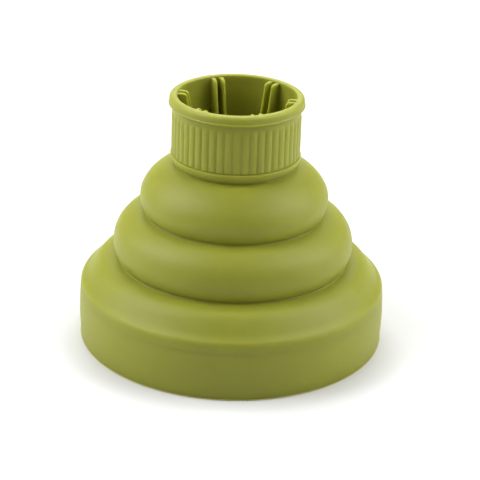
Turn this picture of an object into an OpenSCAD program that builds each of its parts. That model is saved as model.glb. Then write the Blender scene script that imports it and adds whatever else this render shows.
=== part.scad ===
// Collapsible silicone hair dryer diffuser: a ribbed collar with grip fins that holds the dryer's
// nozzle, three folding tiers, a straight skirt, and a pronged diffuser plate held inside the skirt.
// Millimetres. The origin is the centre of the circle that the skirt stands on, with +Z up.

/* [Skirt] */
// Outside radius of the skirt where it stands
skirt_r = 69.2; // [68:0.1:72]
// Outside radius of the shoulder edge at the top of the skirt
shoulder_r = 69.1; // [68:0.1:71]
// Height of the shoulder edge
shoulder_z = 25.4; // [24:0.1:27]
// Wall thickness of the skirt
skirt_wall = 2.2; // [1.9:0.1:2.4]

/* [Lower tier] */
// Outside radius of the fold line between the lower and middle tiers
lower_crease_r = 52; // [51:0.1:52.5]
// Height of the fold line between the lower and middle tiers
lower_crease_z = 38; // [36:0.1:39]

/* [Middle tier] */
// Outside radius of the middle tier at its widest
middle_r = 54.3; // [53.8:0.1:55.5]
// Height at which the middle tier is widest
middle_z = 45.4; // [44.5:0.1:46.5]
// Outside radius of the fold line between the middle and upper tiers
middle_crease_r = 40.1; // [39:0.1:40.8]
// Height of the fold line between the middle and upper tiers
middle_crease_z = 60; // [58.5:0.1:61]

/* [Upper tier] */
// Outside radius of the upper tier at its widest
upper_r = 42.4; // [41.8:0.1:43.5]
// Height at which the upper tier is widest
upper_z = 67.4; // [66.5:0.1:68.5]
// Outside radius of the fold line under the collar
upper_crease_r = 26.9; // [26.5:0.1:27.5]
// Height of the fold line under the collar
upper_crease_z = 83; // [82:0.1:84]

/* [Tier walls] */
// Wall thickness of the three tiers
tier_wall = 2; // [1.6:0.1:2.2]
// Downward slope of a tier where it leaves the fold line above it, in degrees
crease_slope = 7; // [3:1:12]
// Reach of the flat stretch that leaves the fold line
flat_reach = 7; // [5:0.5:8]
// Reach of the upright stretch that ends at a tier's widest point
upright_reach = 7; // [5:0.5:8]
// Slope of the lower tier where it meets the shoulder, in degrees
shoulder_slope = 48; // [44:1:52]

/* [Collar] */
// Height of the whole diffuser, to the top of the rim
height = 115; // [114:0.5:118]
// Outside radius of the rim, half of its 60 mm width
rim_r = 30; // [29.6:0.1:31]
// Height of the rim's rounded flange
rim_h = 3.5; // [3:0.1:4]
// Radius of the bore that the dryer's nozzle goes into
bore_r = 26.4; // [26:0.1:26.6]
// Outside radius over the ribs
rib_r = 28.8; // [28.6:0.1:29.2]
// How far the ribs stand out of the collar's wall
rib_depth = 0.45; // [0.3:0.05:0.6]
// Number of ribs round the collar
rib_count = 50; // [40:1:60]
// Turn of the ribs from the front, in degrees
rib_turn = 1.1; // [0:0.1:3.6]
// Width of the plain band between the lip and the ribs
band_h = 2.4; // [1.5:0.1:4]
// Outside radius of the lip under the rim
lip_r = 29.5; // [29.3:0.05:29.7]
// Outside radius of the ledge under the ribs
ledge_r = 29.2; // [29:0.1:29.6]
// Height of the top edge of the ledge
ledge_z = 88; // [87.5:0.1:89]

/* [Grip fins] */
// Number of pairs of fins round the bore
fin_pairs = 6; // [4:1:8]
// Angle of the first pair from +X, in degrees
fin_start = 51; // [0:1:90]
// Distance between the two fins of a pair, middle to middle
fin_spacing = 3.8; // [3.2:0.1:5]
// Thickness of a fin
fin_thick = 1; // [0.8:0.1:1.2]
// How far a fin stands in from its root at the rim
fin_top_reach = 3.8; // [3.2:0.1:5]
// How far a fin stands in from its root at its foot
fin_foot_reach = 8.3; // [6:0.1:8.6]
// Radius of the bead that a fin turns on
fin_bead_r = 0.8; // [0.7:0.05:0.9]

/* [Diffuser plate] */
// Height of the plate's underside
plate_z = 14; // [12:0.5:14]
// Thickness of the plate
plate_t = 2; // [1.5:0.1:2.2]
// How far the plate's groove is cut into the skirt
groove_depth = 1; // [0.6:0.1:1.2]
// Length of the prongs under the plate
prong_len = 11.5; // [8:0.5:11.5]
// Radius of a prong where it leaves the plate
prong_r = 3; // [2.5:0.1:3.4]
// Radius of a prong's rounded tip
prong_tip_r = 1.7; // [1.2:0.1:2]
// Diameter of the vents in the plate
vent_d = 6; // [4:0.5:6.5]
// Distance from one ring of vents or prongs to the next
ring_step = 11; // [10.5:0.1:11.2]

/* [Hidden] */
$fn = 120;

FIN_SIDES = ["left", "right"];

silicone = [0.62, 0.64, 0.27];
fin_green = [0.55, 0.57, 0.22];
plate_green = [0.58, 0.60, 0.24];

dome_steps = 14;          // straight bands in a tier's dome
bend_steps = 6;           // straight bands in a small bend
seam_angle = 205;         // direction of the cut between two zones, across a fold line's wall
slack = 0.05;             // running clearance of a fin's bead in its groove
eps = 0.5;                // how far a cutter runs past the face that it opens

lower_crease = [lower_crease_r, lower_crease_z];
middle_crease = [middle_crease_r, middle_crease_z];
upper_crease = [upper_crease_r, upper_crease_z];
shoulder = [shoulder_r, shoulder_z];
middle_equator = [middle_r, middle_z];
upper_equator = [upper_r, upper_z];
skirt_bore_r = skirt_r - skirt_wall;
rim_z = height - rim_h;         // underside of the rim's flange
lip_h = 0.8;                    // height of the lip under the flange
wall_r = rib_r - rib_depth;     // outside of the collar's wall, between the ribs

upper_dome = dome_curve(upper_crease, upper_equator, 90);
middle_dome = dome_curve(middle_crease, middle_equator, 90);
lower_dome = dome_curve(lower_crease, shoulder, shoulder_slope);

fin_z = ledge_z + 1.5;
fin_top_z = height - 0.2;
fin_inset = fin_bead_r - 0.2;   // how far a bead's axis stands in front of the bore's wall
fin_root_r = sqrt(bore_r * bore_r - fin_spacing * fin_spacing / 4) - fin_inset;

function fin_name(pair, side) = str("grip_fin_", pair, "_", side);
function fin_angle(pair) = fin_start - (pair - 1) * 360 / fin_pairs;
function side_sign(side) = side == "left" ? 1 : -1;

function reversed(list) = [for (i = [len(list) - 1:-1:0]) list[i]];
function direction(angle) = [cos(angle), sin(angle)];
function angle_of(v) = (atan2(v[1], v[0]) + 360) % 360;

// The normal into the wall, for an outline that runs down the outside
function into_wall(way) = [way[1], -way[0]] / norm(way);

function bend(centre, r, from, to) =
    [for (i = [0:bend_steps]) centre + r * direction(from + (to - from) * i / bend_steps)];

// The four control points of a tier's dome, from its fold line out to its widest point
function dome_curve(crease, edge, end_slope) = [
    crease,
    crease + flat_reach * direction(-crease_slope),
    edge + upright_reach * direction(180 - end_slope),
    edge
];
function curve_point(p, t) =
    pow(1 - t, 3) * p[0] + 3 * t * pow(1 - t, 2) * p[1] + 3 * t * t * (1 - t) * p[2] + pow(t, 3) * p[3];
function curve_way(p, t) =
    pow(1 - t, 2) * (p[1] - p[0]) + 2 * t * (1 - t) * (p[2] - p[1]) + t * t * (p[3] - p[2]);
function curve_offset(p, t, depth) = curve_point(p, t) + depth * into_wall(curve_way(p, t));
function dome(p, depth) = [for (i = [0:dome_steps]) curve_offset(p, i / dome_steps, depth)];

// The undercut from a tier's widest point in to the fold line below it
function undercut_way(equator, crease, s) =
    [-2 * s * (equator[0] - crease[0]), crease[1] - equator[1]];
function undercut(equator, crease, depth) = [for (i = [0:bend_steps]) let (s = i / bend_steps)
    [equator[0] - s * s * (equator[0] - crease[0]), equator[1] - s * (equator[1] - crease[1])]
    + depth * into_wall(undercut_way(equator, crease, s))];

// The folding web of a tier: its dome, cut across the wall at the fold line above it
module web(curve) {
    crease = curve[0];
    start_angle = angle_of(into_wall(curve_way(curve, 0)));
    rotate_extrude()
        polygon(concat(
            dome(curve, 0),
            reversed(dome(curve, tier_wall)),
            bend(crease, tier_wall, start_angle, seam_angle)
        ));
}

// The stiff ring of a tier: its widest point and the undercut below it, down to the fold line
module ring(equator, crease) {
    end_angle = angle_of(into_wall(undercut_way(equator, crease, 1)));
    rotate_extrude()
        polygon(concat(
            undercut(equator, crease, 0),
            bend(crease, tier_wall, seam_angle, end_angle),
            reversed(undercut(equator, crease, tier_wall))
        ));
}

module upper_web() {
    color(silicone) web(upper_dome);
}

module middle_web() {
    color(silicone) web(middle_dome);
}

module lower_web() {
    color(silicone) web(lower_dome);
}

module upper_ring() {
    color(silicone) ring(upper_equator, middle_crease);
}

module middle_ring() {
    color(silicone) ring(middle_equator, lower_crease);
}

// Straight skirt, with the groove inside it that the diffuser plate snaps into
module skirt() {
    seam_foot = curve_offset(lower_dome, 1, tier_wall);
    groove_r = skirt_bore_r + groove_depth;
    color(silicone)
        rotate_extrude()
            polygon([
                [skirt_r, 0],
                shoulder,
                seam_foot,
                [skirt_bore_r, seam_foot[1] - 1],
                [skirt_bore_r, plate_z + plate_t + 0.2],
                [groove_r, plate_z + plate_t + 0.2],
                [groove_r, plate_z],
                [skirt_bore_r, plate_z],
                [skirt_bore_r, 0]
            ]);
}

// Rim, ribbed wall, ledge and neck
module collar() {
    color(silicone)
        difference() {
            union() {
                collar_wall();
                collar_ribs();
            }
            for (pair = [1:fin_pairs], side = FIN_SIDES)
                at_fin_root(pair, side)
                    translate([0, 0, fin_z - 0.2])
                        cylinder(r = fin_bead_r + slack, h = height - fin_z + eps);
        }
}

module collar_wall() {
    neck_start = [ledge_r, ledge_z - 0.3];
    neck_angle = angle_of(into_wall(undercut_way(neck_start, upper_crease, 1)));
    rotate_extrude()
        polygon(concat(
            bend([bore_r + 0.8, height - 0.8], 0.8, 180, 90),
            bend([rim_r - 1.9, height - 1.9], 1.9, 90, 0),
            bend([rim_r - 0.9, rim_z + 0.9], 0.9, 0, -75),
            [
                [lip_r, rim_z - lip_h / 2],
                [lip_r, rim_z - lip_h],
                [wall_r, rim_z - 3 * lip_h],
                [wall_r, ledge_z + 0.4],
                [ledge_r, ledge_z]
            ],
            undercut(neck_start, upper_crease, 0),
            bend(upper_crease, tier_wall, seam_angle, neck_angle),
            reversed(undercut(neck_start, upper_crease, tier_wall)),
            [[bore_r, ledge_z + 0.5]]
        ));
}

module collar_ribs() {
    half_width = PI * rib_r / rib_count;
    curve_r = (half_width * half_width + rib_depth * rib_depth) / (2 * rib_depth);
    translate([0, 0, ledge_z + 0.2])
        linear_extrude(rim_z - lip_h - band_h - ledge_z)
            difference() {
                for (i = [0:rib_count - 1])
                    rotate(i * 360 / rib_count - 90 + rib_turn)
                        translate([rib_r - curve_r, 0])
                            circle(r = curve_r);
                circle(r = bore_r + 0.8);
            }
}

// Places a child at the axis that a fin turns on, with +X pointing out of the bore
module at_fin_root(pair, side) {
    rotate(fin_angle(pair))
        translate([fin_root_r, side_sign(side) * fin_spacing / 2, 0])
            children();
}

// Thin blade that leans on the nozzle, with the bead that it turns on along its root
module grip_fin(pair, side) {
    corner_r = 2;
    blade = concat(
        [[0, fin_z], [fin_foot_reach - 1, fin_z], [fin_foot_reach, fin_z + 1.5]],
        bend([fin_top_reach - corner_r, fin_top_z - corner_r], corner_r, 12, 90),
        [[0, fin_top_z]]
    );
    color(fin_green)
        at_fin_root(pair, side)
            union() {
                rotate([90, 0, 180])
                    linear_extrude(fin_thick, center = true)
                        polygon(blade);
                translate([0, 0, fin_z])
                    cylinder(r = fin_bead_r, h = fin_top_z - fin_z);
            }
}

// Flat round plate with rings of vents between its prongs
module diffuser_plate() {
    edge_play = 0.1;
    color(plate_green)
        translate([0, 0, plate_z])
            linear_extrude(plate_t)
                difference() {
                    circle(r = skirt_bore_r + groove_depth - edge_play);
                    circle(d = vent_d);
                    around(6, ring_step, 0) circle(d = vent_d);
                    around(6, 2 * ring_step, 30) circle(d = vent_d);
                    around(12, 3 * ring_step, 0) circle(d = vent_d);
                    around(12, 4 * ring_step, 15) circle(d = vent_d);
                    around(24, 5 * ring_step, 7.5) circle(d = vent_d);
                }
}

// Rounded fingers that part the hair, on the plate's underside
module diffuser_prongs() {
    color(plate_green) {
        around(6, 2 * ring_step, 0) prong();
        around(12, 4 * ring_step, 0) prong();
    }
}

module prong() {
    tip_z = plate_z - prong_len;
    rotate_extrude()
        polygon(concat(
            [[0, plate_z], [prong_r, plate_z]],
            bend([0, tip_z + prong_tip_r], prong_tip_r, 0, -90)
        ));
}

// Copies a child round the Z axis
module around(count, radius, start) {
    for (i = [0:count - 1])
        rotate(start + i * 360 / count)
            translate([radius, 0])
                children();
}

skirt();
lower_web();
middle_ring();
middle_web();
upper_ring();
upper_web();
collar();
diffuser_plate();
diffuser_prongs();
for (pair = [1:fin_pairs], side = FIN_SIDES)
    grip_fin(pair, side);
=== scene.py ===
import math

import bmesh
import bpy
import numpy as np
from mathutils import Matrix, Quaternion, Vector


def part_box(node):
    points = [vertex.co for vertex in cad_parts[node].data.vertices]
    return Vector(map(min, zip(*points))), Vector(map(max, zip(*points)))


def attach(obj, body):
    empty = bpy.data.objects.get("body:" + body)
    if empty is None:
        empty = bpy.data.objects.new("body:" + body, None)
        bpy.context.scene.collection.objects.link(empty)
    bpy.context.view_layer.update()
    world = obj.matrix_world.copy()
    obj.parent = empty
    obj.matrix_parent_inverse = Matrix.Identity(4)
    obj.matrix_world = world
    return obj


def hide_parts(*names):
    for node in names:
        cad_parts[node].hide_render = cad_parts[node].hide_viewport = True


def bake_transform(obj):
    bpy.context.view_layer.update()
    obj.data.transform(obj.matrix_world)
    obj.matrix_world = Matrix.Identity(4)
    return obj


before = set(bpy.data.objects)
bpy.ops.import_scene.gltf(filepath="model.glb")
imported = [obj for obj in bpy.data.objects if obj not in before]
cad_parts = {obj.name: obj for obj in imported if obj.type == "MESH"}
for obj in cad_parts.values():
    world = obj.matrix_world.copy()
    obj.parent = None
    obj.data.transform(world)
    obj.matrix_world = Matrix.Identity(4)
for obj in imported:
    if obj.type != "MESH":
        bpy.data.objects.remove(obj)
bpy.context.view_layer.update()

# Outlines are lists of (radius, height) points in millimetres, in the CAD frame. Meshes are in metres.
MM = 0.001
SAME_POINT = 1e-4        # points nearer than this are one point


def low(node):
    return np.array(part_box(node)[0]) / MM


def high(node):
    return np.array(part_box(node)[1]) / MM


def radius_at(node, height):
    """The largest radius of a CAD node's mesh at a height."""
    tolerance = 0.05
    points = np.array([v.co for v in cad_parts[node].data.vertices]) / MM
    level = np.abs(points[:, 2] - height) < tolerance
    return float(np.hypot(points[level, 0], points[level, 1]).max())


# Places taken from the frame
RIM_Z = high("collar")[2]
RIM_R = high("collar")[0]
FIN_FOOT_Z = low("grip_fin_1_left")[2]
FIN_TOP_Z = high("grip_fin_1_left")[2]
LEDGE_Z = FIN_FOOT_Z - 1.7       # the ledge under the ribs is a little lower than the fins' feet
SKIRT_R = high("skirt")[0]
SHOULDER = np.array([high("lower_web")[0], high("skirt")[2]])
PLATE_Z = low("diffuser_plate")[2]
PLATE_R = high("diffuser_plate")[0]
PLATE_T = high("diffuser_plate")[2] - PLATE_Z
PRONG_TIP_Z = low("diffuser_prongs")[2]
UPPER_EQUATOR = np.array([high("upper_web")[0], low("upper_web")[2]])
MIDDLE_EQUATOR = np.array([high("middle_web")[0], low("middle_web")[2]])


def crease_over(node):
    """The fold line at the top of a tier's web."""
    top = high(node)[2]
    return np.array([radius_at(node, top), top])


UPPER_CREASE = crease_over("upper_web")
MIDDLE_CREASE = crease_over("middle_web")
LOWER_CREASE = crease_over("lower_web")

# Sizes that the boxes don't give, as in the CAD source
TIER_WALL = 2.0
SKIRT_WALL = 2.2
GROOVE_DEPTH = 1.0
BORE_R = 26.4
RIB_R = 28.8
RIB_COUNT = 50
RIB_TURN = 1.1           # how far the rib nearest the front stands to the right of it, in degrees
LEDGE_R = 29.2
FIN_PAIRS = 6
FIN_START = 51.0         # direction of the first pair, in degrees
FIN_SPACING = 3.8        # between the middles of a pair's two fins
RING_STEP = 11.0         # between the rings of vents and prongs
VENT_R = 3.0
PRONG_R = 3.0
PRONG_TIP_R = 1.7

# Details that only the looks have
FRONT = -90.0            # the angle of the side that faces the camera
SEGMENTS = 360
SEAM_Z = 22.0            # where the lower tier's skin meets the skirt's, on the wall
FOOT_R = SKIRT_R - 0.3   # the wall bulges a little above the foot
FOOT_EDGE = 0.5          # height of the rounding at the foot
FOLD_FILLET = 1.0        # how far the small rounding in a fold line reaches along each side
FILLET_PULL = 0.62       # how far that rounding keeps to each side's direction, as a share of its reach
UPPER_DOME = (6.4, 6.7, 7.2)     # a dome's slope where it leaves its fold line, and its two reaches
MIDDLE_DOME = (4.8, 8.8, 7.4)
LOWER_DOME = (6.5, 8.9, 6.9)
KNEE_SLOPE = 52.0        # of the lower tier, where the flatter strip before its shoulder starts
STRIP_SLOPE = 33.0       # of that strip, where it meets the shoulder
LIP_R = 30.25            # the lip under the rim
RIB_DEPTH = 0.52
WALL_R = RIB_R - RIB_DEPTH       # the collar's wall between its ribs
RIB_TOP_Z = RIM_Z - 6.4          # where the ribs begin to rise out of the wall
RIB_RISE = 3.0                   # the height in which they reach their full depth
RIB_END_Z = LEDGE_Z + 0.45       # where they stop, over the ledge
NICK = FRONT + 6.4       # direction of the nick in the skirt's parting line


# ---------------------------------------------------------------- outlines

def heading(degrees):
    """A direction as a unit vector. In an outline 0 points outwards and 90 up."""
    angle = math.radians(degrees)
    return np.array([math.cos(angle), math.sin(angle)])


def curve(start, start_heading, start_reach, end, end_heading, end_reach, count):
    """A smooth run of points that leaves start and reaches end along the given headings.
    A reach is how far the run keeps to its heading."""
    start, end = np.array(start, float), np.array(end, float)
    out = start + start_reach * heading(start_heading)
    back = end - end_reach * heading(end_heading)
    t = np.linspace(0, 1, count + 1)[:, None]
    return (1 - t) ** 3 * start + 3 * (1 - t) ** 2 * t * out + 3 * (1 - t) * t ** 2 * back + t ** 3 * end


def arc(centre, radius, first, last, count):
    angles = np.linspace(first, last, count + 1)
    return np.array([np.array(centre) + radius * heading(a) for a in angles])


def line(start, end, count=1):
    return np.linspace(start, end, count + 1)


def shorten(points, at_start=0.0, at_end=0.0):
    """The same run of points with a length cut off each end."""
    steps = np.linalg.norm(np.diff(points, axis=0), axis=1)
    along = np.concatenate([[0], np.cumsum(steps)])
    first, last = at_start, along[-1] - at_end
    inside = (along > first + 1e-6) & (along < last - 1e-6)
    stations = np.concatenate([[first], along[inside], [last]])
    return np.stack([np.interp(stations, along, points[:, k]) for k in (0, 1)], axis=1)


def joined(*runs):
    """Runs of points end to end, without repeating a shared point."""
    points = [runs[0][0]]
    for run in runs:
        for p in run:
            if np.linalg.norm(p - points[-1]) > SAME_POINT:
                points.append(p)
    return np.array(points)


def inner_side(outer, wall):
    """Points a wall's thickness inside an outline that runs down the outside, with the outer point of each.
    Points that come too near another part of the outline are left out."""
    tolerance = 0.03
    way = np.gradient(outer, axis=0)
    way /= np.linalg.norm(way, axis=1)[:, None]
    inner = outer + wall * np.stack([way[:, 1], -way[:, 0]], axis=1)
    gaps = np.linalg.norm(inner[:, None] - outer[None], axis=2).min(axis=1)
    kept = np.flatnonzero(gaps > wall - tolerance)
    return inner[kept], kept


def smooth(t):
    t = np.clip(t, 0, 1)
    return t * t * (3 - 2 * t)


def undercut(equator, crease):
    """From a tier's widest point in to the fold line below it, and the heading there."""
    drop, twice_in = equator[1] - crease[1], 2 * (equator[0] - crease[0])
    way_in = math.degrees(math.atan2(-drop, -twice_in))
    last_reach = math.hypot(drop, twice_in) / 3
    return curve(equator, -90, drop / 3, crease, way_in, last_reach, 14), way_in


def dome(crease, edge, shape, end_slope=90.0):
    """From a fold line out and down to the dome's edge."""
    slope, flat_reach, end_reach = shape
    return curve(crease, -slope, flat_reach, edge, -end_slope, end_reach, 40)


def fold_line(above, way_in, below):
    """The small rounding where one tier turns into the next, between two shortened runs."""
    way_out = below[1] - below[0]
    out_heading = math.degrees(math.atan2(way_out[1], way_out[0]))
    reach = FOLD_FILLET * FILLET_PULL
    return curve(above[-1], way_in, reach, below[0], out_heading, reach, 8)


# ---------------------------------------------------------------- meshes

def finished(mesh, sharp=40.0):
    """Outward faces, smooth shading, and edges that stay sharp past an angle."""
    work = bmesh.new()
    work.from_mesh(mesh)
    bmesh.ops.recalc_face_normals(work, faces=work.faces)
    work.to_mesh(mesh)
    work.free()
    mesh.polygons.foreach_set("use_smooth", [True] * len(mesh.polygons))
    mesh.set_sharp_from_angle(angle=math.radians(sharp))
    mesh.update()


def new_piece(name, points, faces, material, sharp=40.0):
    """A mesh object from points in millimetres."""
    mesh = bpy.data.meshes.new(name)
    mesh.from_pydata([tuple(p) for p in np.asarray(points) * MM], [], faces)
    finished(mesh, sharp)
    mesh.materials.append(material)
    piece = bpy.data.objects.new(name, mesh)
    bpy.context.scene.collection.objects.link(piece)
    return piece


def swept_points(outline, angles, ripple=None):
    """An outline turned round Z: one ring of points for each angle, in degrees."""
    radius = np.repeat(outline[None, :, 0], len(angles), axis=0)
    height = np.repeat(outline[None, :, 1], len(angles), axis=0)
    turn = np.radians(angles)[:, None]
    if ripple is not None:
        radius = radius + ripple(np.asarray(angles)[:, None], radius, height)
    return np.stack([radius * np.cos(turn), radius * np.sin(turn), height], axis=2).reshape(-1, 3)


def swept_faces(rings, size, closed=True):
    """Quads between neighbouring rings of points, and round each ring."""
    faces = []
    for k in range(rings if closed else rings - 1):
        a, b = k * size, (k + 1) % rings * size
        faces += [(a + i, b + i, b + (i + 1) % size, a + (i + 1) % size) for i in range(size)]
    return faces


def revolved(name, outline, material, segments=SEGMENTS, ripple=None, sharp=40.0):
    """A closed solid of revolution."""
    angles = FRONT + np.arange(segments) * 360 / segments
    points = swept_points(outline, angles, ripple)
    return new_piece(name, points, swept_faces(segments, len(outline)), material, sharp)


def fold_between(piece, heights, lower_body, upper_body, shares):
    """Bakes the piece's placement into its mesh."""
    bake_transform(piece)


# ---------------------------------------------------------------- materials

class Nodes:
    """Short names for making a node material."""

    def __init__(self, name):
        self.material = bpy.data.materials.new(name)
        self.material.use_nodes = True
        self.tree = self.material.node_tree
        self.shader = self.tree.nodes["Principled BSDF"]
        self.place = self.add("ShaderNodeTexCoord", {}).outputs["Object"]

    def add(self, kind, inputs, **settings):
        node = self.tree.nodes.new(kind)
        for key, value in settings.items():
            setattr(node, key, value)
        for key, value in inputs.items():
            node.inputs[key].default_value = value
        return node

    def link(self, source, target):
        self.tree.links.new(source, target)

    def noise(self, scale, detail=3.0, roughness=0.5):
        node = self.add("ShaderNodeTexNoise", {"Scale": scale, "Detail": detail, "Roughness": roughness})
        self.link(self.place, node.inputs["Vector"])
        return node.outputs["Fac"]

    def ranged(self, source, first, last, low_value, high_value, **settings):
        """A source's run from first to last, turned into one from the low to the high value."""
        ends = {"From Min": first, "From Max": last, "To Min": low_value, "To Max": high_value}
        node = self.add("ShaderNodeMapRange", ends, **settings)
        self.link(source, node.inputs["Value"])
        return node.outputs["Result"]

    def mixed(self, factor, first, second):
        """A mix of two colours. The node's colour sockets go by number, since others share their names."""
        first_socket, second_socket, result = 6, 7, 2
        colours = {first_socket: (*first, 1), second_socket: (*second, 1)}
        node = self.add("ShaderNodeMix", colours, data_type="RGBA")
        self.link(factor, node.inputs[0])
        return node.outputs[result]

    def bump(self, height, distance, strength, under=None):
        node = self.add("ShaderNodeBump", {"Strength": strength, "Distance": distance})
        self.link(height, node.inputs["Height"])
        if under is not None:
            self.link(under, node.inputs["Normal"])
        return node.outputs["Normal"]


def moulded(name, colour, roughness, grain, softness, sheen):
    """Coloured silicone or plastic from a blasted mould: mottled colour, fine grain, slow unevenness."""
    mottle, patches, waves, grains = 90, 420, 70, 2600      # scales of the noises, per metre
    wave_height, grain_height = 0.0004, 0.00003             # in metres
    made = Nodes(name)
    darker = [c * 0.955 for c in colour]
    lighter = [c * 1.04 for c in colour]
    made.link(made.mixed(made.noise(mottle, 4), darker, lighter), made.shader.inputs["Base Color"])
    gloss = made.ranged(made.noise(patches, 4, 0.6), 0.3, 0.7, roughness - 0.04, roughness + 0.05)
    made.link(gloss, made.shader.inputs["Roughness"])
    slow = made.bump(made.noise(waves, 2), wave_height, 0.12)
    fine = made.bump(made.noise(grains, 3, 0.6), grain_height, grain, slow)
    made.link(fine, made.shader.inputs["Normal"])
    made.shader.inputs["IOR"].default_value = 1.41
    made.shader.inputs["Specular IOR Level"].default_value = 0.45
    made.shader.inputs["Subsurface Weight"].default_value = softness
    made.shader.inputs["Subsurface Radius"].default_value = (0.0046, 0.0044, 0.0014)
    made.shader.inputs["Subsurface Scale"].default_value = 1.0
    made.shader.inputs["Sheen Weight"].default_value = sheen
    made.shader.inputs["Sheen Roughness"].default_value = 0.45
    made.shader.inputs["Sheen Tint"].default_value = (0.95, 1.0, 0.6, 1)
    return made.material


def silicone():
    olive = (0.25, 0.262, 0.021)
    return moulded("silicone_olive", olive, roughness=0.48, grain=0.35, softness=0.85, sheen=0.02)


def painted_highlight_flash_silicone():
    """Painted highlight: coloured paler than the silicone, standing in for the light that the thin parting
    line catches and lets through.
    """
    # painted highlight: this pale colour stands in for light on the parting line
    pale_painted_highlight = (0.42, 0.39, 0.10)
    return moulded("silicone_flash_painted_highlight", pale_painted_highlight, roughness=0.45, grain=0.2, softness=0.3, sheen=0.1)


def plate_plastic():
    olive = (0.235, 0.246, 0.020)
    return moulded("plate_olive", olive, roughness=0.42, grain=0.25, softness=0.1, sheen=0.0)


# ---------------------------------------------------------------- hood

def tier(name, above, dome_run, rest_run, joint_bodies, nodes, material):
    """A tier's skin, from the fold line over it down its dome and the rest of its outside.
    above is the run of points that comes down to the fold line, and its heading there."""
    run_above, way_in = above
    crease, dome_edge = dome_run[0], dome_run[-1]
    over = shorten(run_above, at_end=FOLD_FILLET)
    dome_run = shorten(dome_run, at_start=FOLD_FILLET)
    fillet = fold_line(over, way_in, dome_run)
    outer = joined(fillet, dome_run, rest_run)
    last_dome = len(joined(fillet, dome_run)) - 1
    shares = smooth((dome_edge[0] - outer[:, 0]) / (dome_edge[0] - crease[0]))
    shares[: len(fillet)] = 1
    shares[last_dome:] = 0
    inner, owners = inner_side(outer, TIER_WALL)
    outline = np.concatenate([outer, inner[::-1]])
    outline_shares = np.concatenate([shares, shares[owners[::-1]]])
    piece = revolved(name, outline, material)
    fold_between(piece, (dome_edge[1], crease[1]), *joint_bodies, outline_shares)
    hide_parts(*nodes)


def skirt_wall_r(height):
    """The skirt's outside bulges a little between the shoulder and the foot."""
    wall = curve(SHOULDER, -85.7, 10, (FOOT_R, FOOT_EDGE), -97.6, 7.6, 60)
    return float(np.interp(height, wall[::-1, 1], wall[::-1, 0]))


def lower_tier_runs():
    """The lower tier's slope, the flatter strip before its shoulder, the shoulder and the top of the wall."""
    knee = SHOULDER + np.array([-3.7, 4.4])
    strip_end = SHOULDER + np.array([-1.25, 2.2])
    wall_z = SHOULDER[1] - 0.3
    wall_top = (skirt_wall_r(wall_z), wall_z)
    slope = dome(LOWER_CREASE, knee, LOWER_DOME, KNEE_SLOPE)
    strip = curve(knee, -KNEE_SLOPE, 1.2, strip_end, -STRIP_SLOPE, 0.9, 8)
    edge = curve(strip_end, -STRIP_SLOPE, 0.85, wall_top, -90, 0.95, 10)
    wall = line(wall_top, (skirt_wall_r(SEAM_Z), SEAM_Z), 3)
    return slope, joined(strip, edge, wall)


def neck_run():
    """From the ledge under the ribs down to the fold line over the upper tier, and the heading there."""
    edge_height = 0.15
    return undercut(np.array([LEDGE_R, LEDGE_Z - edge_height]), UPPER_CREASE)


def make_tiers(material):
    upper_under = undercut(UPPER_EQUATOR, MIDDLE_CREASE)
    middle_under = undercut(MIDDLE_EQUATOR, LOWER_CREASE)
    lower_slope, lower_rest = lower_tier_runs()
    tier(
        "upper_tier", neck_run(),
        dome(UPPER_CREASE, UPPER_EQUATOR, UPPER_DOME), shorten(upper_under[0], at_end=FOLD_FILLET),
        ("upper_ring", "collar"), ("upper_web", "upper_ring"), material,
    )
    tier(
        "middle_tier", upper_under,
        dome(MIDDLE_CREASE, MIDDLE_EQUATOR, MIDDLE_DOME), shorten(middle_under[0], at_end=FOLD_FILLET),
        ("middle_ring", "upper_ring"), ("middle_web", "middle_ring"), material,
    )
    tier(
        "lower_tier", middle_under,
        lower_slope, lower_rest,
        ("skirt", "middle_ring"), ("lower_web",), material,
    )


def make_skirt(material):
    """The skirt's wall from the seam down, with the groove that holds the plate."""
    bore = SKIRT_R - SKIRT_WALL
    groove_r, groove_top, chamfer = bore + GROOVE_DEPTH, PLATE_Z + PLATE_T + 0.2, 0.2
    outline = joined(
        np.array([(skirt_wall_r(z), z) for z in np.linspace(SEAM_Z, FOOT_EDGE, 24)]),
        curve((FOOT_R, FOOT_EDGE), -97, 0.2, (FOOT_R - 0.35, 0), -165, 0.15, 6),
        arc((bore + FOOT_EDGE, FOOT_EDGE), FOOT_EDGE, -90, -180, 5),
        line((bore, FOOT_EDGE), (bore, PLATE_Z - chamfer), 6),
        line((bore + chamfer, PLATE_Z), (groove_r, PLATE_Z)),
        line((groove_r, groove_top), (bore + chamfer, groove_top)),
        line((bore, groove_top + chamfer), (bore, SEAM_Z - 1), 3),
        line((bore, SEAM_Z - 1), (skirt_wall_r(SEAM_Z) - TIER_WALL, SEAM_Z)),
    )
    piece = revolved("skirt_wall", outline, material, sharp=50)
    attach(piece, "skirt")
    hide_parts("skirt")


def make_flash(material):
    """The thin parting line round the skirt's foot, which ends in a tiny nick and tab near the front."""
    gap, tab_width, rings = 0.45, 0.5, 420
    section = np.array([[-0.3, 0.15], [0.35, 0.2], [0.5, 0.26], [0.5, 0.34], [0.35, 0.42], [-0.3, 0.55]])
    tab_section = np.array([[-0.3, 0.02], [0.6, 0.02], [0.6, 0.45], [-0.3, 0.66]])
    tab_start = NICK + gap / 2
    points, faces = [], []
    for outline, angles in (
        (section, np.linspace(tab_start, NICK - gap / 2 + 360, rings)),
        (tab_section, [tab_start, tab_start + tab_width]),
    ):
        base, size, last = len(points), len(outline), (len(angles) - 1) * len(outline)
        points += list(swept_points(outline + np.array([FOOT_R, 0]), angles))
        ends = [tuple(range(size)), tuple(range(last, last + size))]
        faces += [tuple(base + i for i in f) for f in swept_faces(len(angles), size, closed=False) + ends]
    piece = new_piece("skirt_flash", points, faces, material)
    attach(piece, "skirt")


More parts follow.
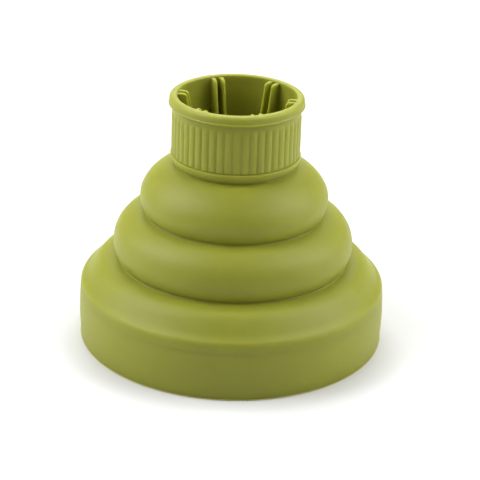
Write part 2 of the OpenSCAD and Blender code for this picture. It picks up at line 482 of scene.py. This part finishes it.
# ---------------------------------------------------------------- collar

def rib_ripple(angle, radius, height):
    """How far the ribs stand out of the collar's wall. They rise slowly at the top and end square below.
    A rib's face is crowned, and the narrow groove between two ribs takes the last of the depth."""
    crown, groove, groove_half, end_rise = 0.9, 0.1, 0.1, 0.3
    place = (angle - FRONT - RIB_TURN) * RIB_COUNT / 360
    from_rib = np.abs((place + 0.5) % 1 - 0.5)
    rise = 1 - crown * (2 * from_rib) ** 2 - groove * smooth((from_rib - 0.5 + groove_half) / groove_half)
    fade = smooth((RIB_TOP_Z - height) / RIB_RISE) * smooth((height - RIB_END_Z) / end_rise)
    outside = radius > (BORE_R + RIB_R) / 2
    return np.where(outside, RIB_DEPTH * rise * fade, 0)


def collar_outline():
    """Round the collar's section, from the top of its bore outwards and down, and back up the bore."""
    bore_edge, ledge_edge = 0.8, 0.12
    neck, _ = neck_run()
    neck = shorten(neck, at_end=FOLD_FILLET)
    inner_neck, _ = inner_side(neck, TIER_WALL)
    bore_top = (BORE_R, RIM_Z - bore_edge)
    brow = (RIM_R - 0.45, RIM_Z - 0.72)
    rim_side = (RIM_R - 0.03, RIM_Z - 2.75)
    rim_foot = (RIM_R - 0.08, RIM_Z - 3.15)
    lip_edge = (LIP_R, RIM_Z - 3.7)
    lip_foot = (LIP_R - 0.5, RIM_Z - 4.15)
    ledge_top = (LEDGE_R - ledge_edge, LEDGE_Z + 0.1)
    rim = joined(
        arc((BORE_R + bore_edge, RIM_Z - bore_edge), bore_edge, 180, 90, 6),
        curve((BORE_R + 0.9, RIM_Z), 0, 1.4, brow, -42, 0.6, 12),
        curve(brow, -42, 0.55, rim_side, -90, 0.9, 12),
        line(rim_side, rim_foot),
    )
    lip = joined(
        curve(rim_foot, -70, 0.25, lip_edge, -60, 0.3, 8),
        curve(lip_edge, -60, 0.15, lip_foot, -170, 0.2, 8),
        curve(lip_foot, -170, 0.6, (WALL_R, RIM_Z - 5.8), -90, 0.9, 10),
    )
    rib_rows = np.concatenate([
        np.linspace(RIB_TOP_Z, RIB_TOP_Z - RIB_RISE, 10),
        np.linspace(RIM_Z - 10.5, LEDGE_Z + 1.6, 10),
        np.linspace(LEDGE_Z + 0.8, RIB_END_Z, 5),
    ])
    ledge = joined(
        curve((WALL_R, RIB_END_Z), -60, 0.1, ledge_top, -15, 0.3, 5),
        curve(ledge_top, -15, 0.1, neck[0], -90, 0.15, 6),
    )
    bore = joined(
        curve(inner_neck[0], 90, 0.5, (BORE_R, LEDGE_Z + 0.5), 90, 0.5, 4),
        line((BORE_R, LEDGE_Z + 0.5), bore_top, 12),
    )
    outline = joined(rim, lip, [np.array([WALL_R, z]) for z in rib_rows], ledge, neck, inner_neck[::-1], bore)
    return outline[:-1]          # its last point is its first again


def make_collar(material):
    segments = RIB_COUNT * 16
    piece = revolved("collar_wall", collar_outline(), material, segments, rib_ripple, sharp=60)
    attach(piece, "collar")
    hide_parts("collar")


# ---------------------------------------------------------------- grip fins

def fin_loop(reach, half):
    """One level slice of a fin as (inward distance, sideways) points: fillets at its root, a round tip."""
    embedded, flare, flare_fade = -0.8, 0.85, 0.55
    inward = np.concatenate([[embedded], np.linspace(-0.1, 1.8, 9), np.linspace(2.1, reach - half, 5)])
    side = half + flare * np.exp(-np.clip(inward, 0, None) / flare_fade)
    tip = arc((reach - half, 0), half, 75, -75, 6)
    left = np.stack([inward, side], axis=1)
    right = np.stack([inward, -side], axis=1)[::-1]
    return np.concatenate([left, tip, right])


def fin_slices():
    """(height, reach, half thickness) of a fin's level slices, from its foot to its rounded top."""
    half, foot_reach, top_reach = 0.68, 8.9, 4.5
    corner, edge = 2.0, 0.5          # the top's rounding towards the middle, and across the thickness
    foot_z, straight_top = FIN_FOOT_Z + 1.0, FIN_TOP_Z - 0.6 - corner
    rows = [(FIN_FOOT_Z - 0.4, foot_reach - 1.6, 0.35), (FIN_FOOT_Z, foot_reach - 1.0, half)]
    for share in np.linspace(0, 1, 13):
        height = foot_z + (straight_top - foot_z) * share
        rows.append((height, foot_reach + (top_reach - foot_reach) * share, half))
    for turn in np.radians(np.arange(10, 91, 10)):
        rise, drawn_in = corner * math.sin(turn), corner * (1 - math.cos(turn))
        thinner = max(0.0, (rise - (corner - edge)) / edge)
        thickness = half - edge * (1 - math.sqrt(max(0.0, 1 - thinner ** 2)))
        rows.append((straight_top + rise, top_reach - drawn_in, thickness))
    return rows


def make_fin(pair, side, material):
    """One fin of a pair, on a short root just inside the bore."""
    sign = 1 if side == "left" else -1
    wall_out = math.sqrt(BORE_R ** 2 - FIN_SPACING ** 2 / 4)
    turn = math.radians(FIN_START - (pair - 1) * 360 / FIN_PAIRS)
    outward = np.array([math.cos(turn), math.sin(turn), 0])
    sideways = np.array([-math.sin(turn), math.cos(turn), 0])
    root = wall_out * outward + sign * FIN_SPACING / 2 * sideways
    points, slices = [], fin_slices()
    for height, reach, half in slices:
        for inward, across in fin_loop(reach, half):
            points.append(root - inward * outward + across * sideways + np.array([0, 0, height]))
    size = len(points) // len(slices)
    faces = swept_faces(len(slices), size, closed=False)
    for level in (0, (len(slices) - 1) * size):      # the foot and the top, closed across the thickness
        faces += [(level + i, level + i + 1, level + size - 2 - i, level + size - 1 - i)
                  for i in range(size // 2 - 1)]
    name = f"fin_{pair}_{side}"
    piece = new_piece(name, points, faces, material, sharp=60)
    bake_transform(piece)
    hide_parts("grip_" + name)


# ---------------------------------------------------------------- diffuser plate

def ring_places(count, radius, start):
    return [radius * heading(start + k * 360 / count) for k in range(count)]


# The vents are in rings round one in the middle, and the fingers stand between them
VENTS = (
    [np.zeros(2)]
    + ring_places(6, RING_STEP, 0) + ring_places(6, 2 * RING_STEP, 30)
    + ring_places(12, 3 * RING_STEP, 0) + ring_places(12, 4 * RING_STEP, 15)
    + ring_places(24, 5 * RING_STEP, 7.5)
)
PRONGS = ring_places(6, 2 * RING_STEP, 0) + ring_places(12, 4 * RING_STEP, 0)


def make_plate(material):
    """The vented disc: a flat curve with round holes, thickened with a small bevel on every edge."""
    bevel, disc_sides, vent_sides = 0.35, 180, 40
    data = bpy.data.curves.new("diffuser_disc", "CURVE")
    data.dimensions, data.fill_mode = "2D", "BOTH"
    circles = [(np.zeros(2), PLATE_R - bevel, disc_sides)]
    circles += [(vent, VENT_R + bevel, vent_sides) for vent in VENTS]
    for centre, radius, sides in circles:
        spline = data.splines.new("POLY")
        spline.points.add(sides - 1)
        for k, point in enumerate(spline.points):
            x, y = centre + radius * heading(k * 360 / sides)
            point.co = (x * MM, y * MM, 0, 1)
        spline.use_cyclic_u = True
    data.extrude = (PLATE_T / 2 - bevel) * MM
    data.bevel_depth, data.bevel_resolution = bevel * MM, 2
    drawn = bpy.data.objects.new("diffuser_disc_curve", data)
    bpy.context.scene.collection.objects.link(drawn)
    bpy.context.view_layer.update()
    mesh = bpy.data.meshes.new_from_object(drawn.evaluated_get(bpy.context.evaluated_depsgraph_get()))
    bpy.data.objects.remove(drawn)
    mesh.transform(Matrix.Translation((0, 0, (PLATE_Z + PLATE_T / 2) * MM)))
    work = bmesh.new()
    work.from_mesh(mesh)
    bmesh.ops.remove_doubles(work, verts=work.verts, dist=1e-6)
    work.to_mesh(mesh)
    work.free()
    finished(mesh, 35)
    mesh.materials.clear()
    mesh.materials.append(material)
    piece = bpy.data.objects.new("diffuser_disc", mesh)
    bpy.context.scene.collection.objects.link(piece)
    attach(piece, "skirt")
    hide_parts("diffuser_plate")


def make_prongs(material):
    """Rounded fingers with a fillet where they leave the plate."""
    embedded = 0.1
    fillet_r, fillet_z = PRONG_R + 0.9, PLATE_Z - 1.2
    tip = (0, PRONG_TIP_Z + PRONG_TIP_R)
    outline = joined(
        line((fillet_r, PLATE_Z + embedded), (fillet_r, PLATE_Z)),
        curve((fillet_r, PLATE_Z), 180, 0.6, (PRONG_R, fillet_z), -90, 0.6, 6),
        line((PRONG_R, fillet_z), (PRONG_TIP_R, tip[1]), 5),
        arc(tip, PRONG_TIP_R, 0, -86, 8),
    )
    sides, size = 28, len(outline)
    points, faces = [], []
    angles = np.arange(sides) * 360 / sides
    for place in PRONGS:
        base = len(points)
        shift = np.array([place[0], place[1], 0])
        points += list(swept_points(outline, angles) + shift)
        for k in range(sides):
            a, b = base + k * size, base + (k + 1) % sides * size
            faces += [(a + i, b + i, b + i + 1, a + i + 1) for i in range(size - 1)]
        for end in (0, size - 1):
            faces.append(tuple(base + k * size + end for k in range(sides)))
    piece = new_piece("diffuser_fingers", points, faces, material, sharp=50)
    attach(piece, "skirt")
    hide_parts("diffuser_prongs")


# ---------------------------------------------------------------- stage

def make_camera():
    elevation, distance, roll = math.radians(23.36), 0.8057, math.radians(1.73)
    middle_height = 0.0575
    target = Vector((0, 0, middle_height))
    back = Vector((0, -math.cos(elevation), math.sin(elevation)))
    data = bpy.data.cameras.new("camera")
    data.sensor_width, data.lens = 36.0, 133.4
    data.shift_x, data.shift_y = 0.0131, -0.0535
    data.clip_start, data.clip_end = 0.05, 50
    camera = bpy.data.objects.new("camera", data)
    camera.rotation_mode = "QUATERNION"
    camera.location = target + back * distance
    camera.rotation_quaternion = (-back).to_track_quat("-Z", "Y") @ Quaternion((0, 0, 1), roll)
    bpy.context.scene.collection.objects.link(camera)
    bpy.context.scene.camera = camera


def make_light(name, turn, rise, watts):
    """A soft box that faces the piece. turn is its direction from the front, positive to the right."""
    size, distance, aim_height = 0.55, 0.8, 0.06
    data = bpy.data.lights.new(name, "AREA")
    data.shape, data.size, data.energy = "SQUARE", size, watts
    turn, rise = math.radians(turn), math.radians(rise)
    towards = Vector((math.sin(turn) * math.cos(rise), -math.cos(turn) * math.cos(rise), math.sin(rise)))
    lamp = bpy.data.objects.new(name, data)
    lamp.location = Vector((0, 0, aim_height)) + towards * distance
    lamp.rotation_euler = (-towards).to_track_quat("-Z", "Y").to_euler()
    bpy.context.scene.collection.objects.link(lamp)


# Soft boxes: direction from the front and elevation in degrees, power in watts
LIGHTS = (
    ("left_side", -90, 20, 2.1), ("right_side", 90, 20, 2.65),
    ("left_high", -90, 45, 4.1), ("right_high", 90, 45, 2.75),
    ("left_front", -60, 45, 1.7), ("right_front", 60, 45, 1.55),
    ("low_back", 180, 20, 1.0), ("high_back", 180, 60, 4.9),
)


def floor_white():
    """Pale and matt. Out of the soft boxes' reach it glows instead, like a studio floor lit evenly."""
    made = Nodes("floor_white")
    made.shader.inputs["Roughness"].default_value = 0.8
    made.shader.inputs["Specular IOR Level"].default_value = 0.2
    tone = made.mixed(made.noise(3), (0.67, 0.67, 0.67), (0.69, 0.69, 0.69))
    made.link(tone, made.shader.inputs["Base Color"])
    distance = made.add("ShaderNodeVectorMath", {}, operation="LENGTH")
    made.link(made.place, distance.inputs[0])
    glow = made.ranged(distance.outputs["Value"], 0.4, 0.95, 0.0, 0.8, interpolation_type="SMOOTHSTEP")
    made.shader.inputs["Emission Color"].default_value = (1, 1, 1, 1)
    made.link(glow, made.shader.inputs["Emission Strength"])
    return made.material


def make_stage():
    half = 6
    mesh = bpy.data.meshes.new("floor")
    corners = [(-half, -half, 0), (half, -half, 0), (half, half, 0), (-half, half, 0)]
    mesh.from_pydata(corners, [], [(0, 1, 2, 3)])
    mesh.materials.append(floor_white())
    floor = bpy.data.objects.new("floor", mesh)
    bpy.context.scene.collection.objects.link(floor)
    world = bpy.data.worlds.new("studio")
    world.use_nodes = True
    sky = world.node_tree.nodes["Background"]
    sky.inputs["Color"].default_value = (1, 1, 1, 1)
    sky.inputs["Strength"].default_value = 0.14
    bpy.context.scene.world = world
    bpy.context.scene.view_settings.view_transform = "Standard"
    for light in LIGHTS:
        make_light(*light)


make_camera()
make_stage()
hood = silicone()
make_skirt(hood)
# the parting line's material is a painted highlight, paler than the silicone
make_flash(painted_highlight_flash_silicone())
make_tiers(hood)
make_collar(hood)
for fin_pair in range(1, FIN_PAIRS + 1):
    for fin_side in ("left", "right"):
        make_fin(fin_pair, fin_side, hood)
plate = plate_plastic()
make_plate(plate)
make_prongs(plate)
